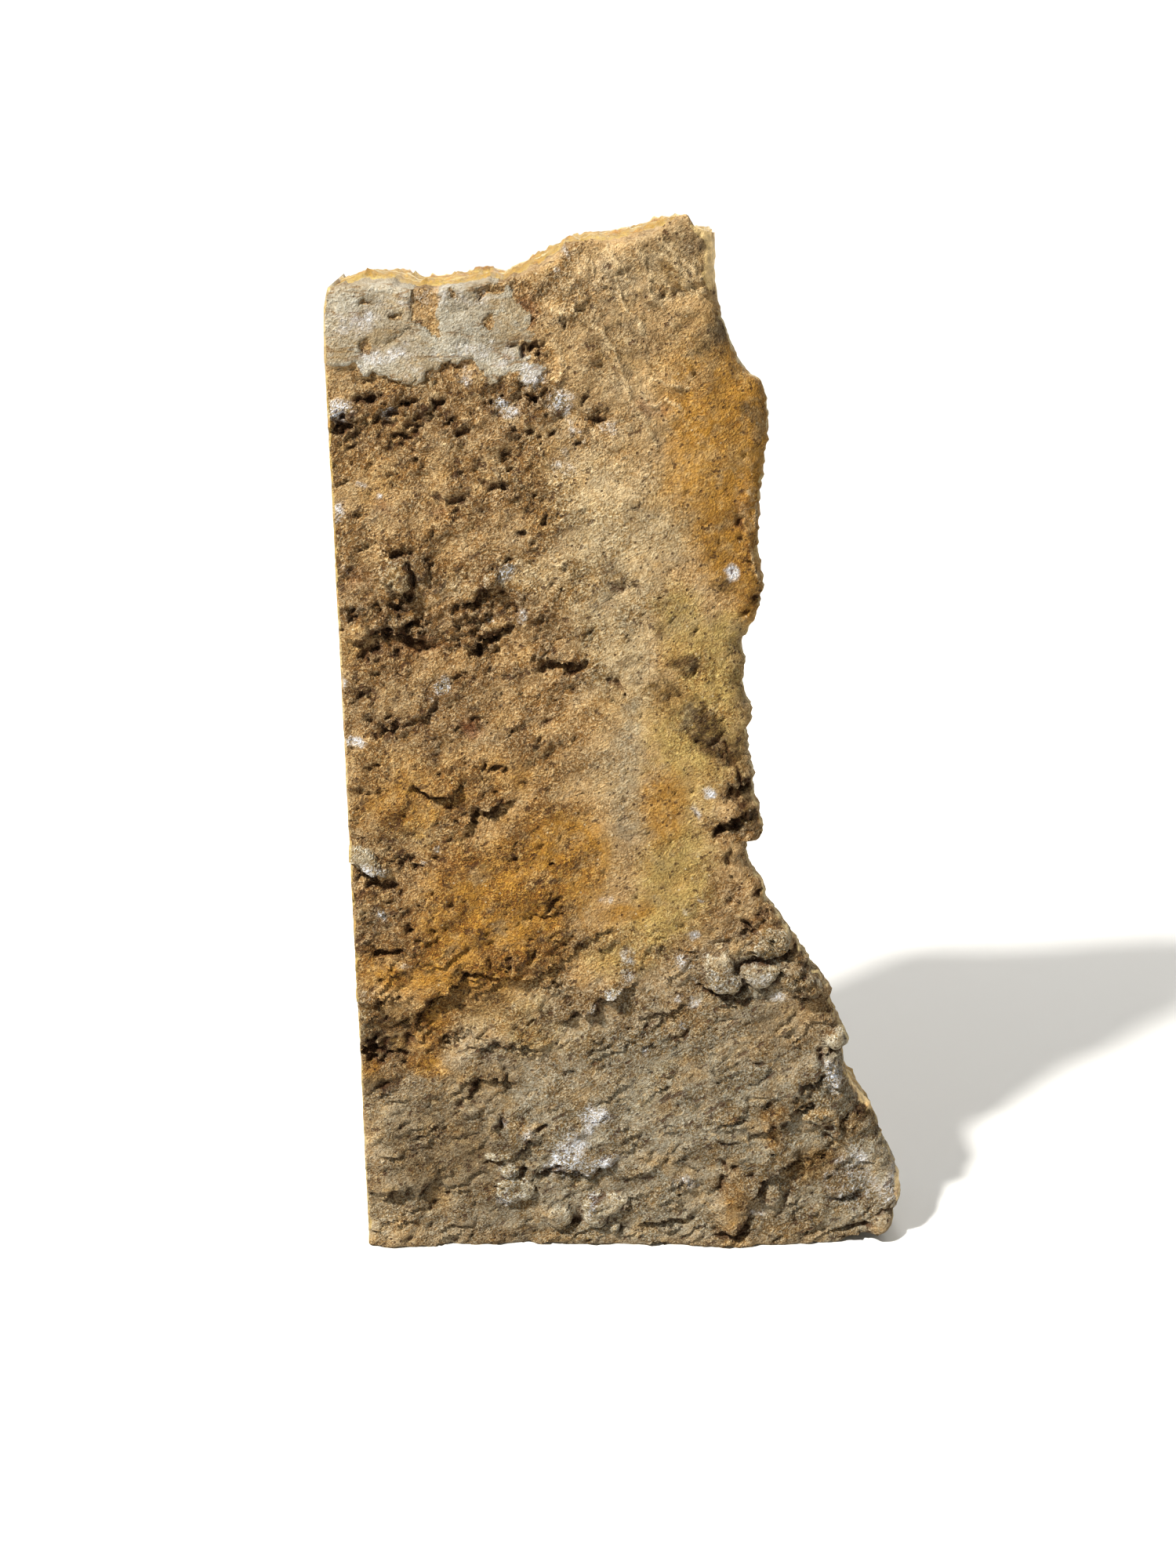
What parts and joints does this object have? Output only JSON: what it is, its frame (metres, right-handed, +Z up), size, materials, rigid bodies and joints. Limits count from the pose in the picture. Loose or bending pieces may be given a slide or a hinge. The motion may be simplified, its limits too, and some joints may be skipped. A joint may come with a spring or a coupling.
{
  "type": "onyx specimen",
  "caption": "Standing slab of banded calcite onyx with a weathered tan rind on its front, sawn side, foot and back, and broken honey-coloured top and right edges.",
  "frame": {"origin": "centre of the bounding box, at the height of the sawn foot that the slab stands on", "axes": "+Z up along the slab's height, -Y out of the weathered front, +X to the right seen from the front"},
  "size_m": [0.13, 0.0306, 0.2402],
  "materials": {
    "onyx_with_rind": "matte"
  },
  "bodies": {
    "root": {"onyx_slab": "onyx_with_rind"}
  },
  "joints": []
}
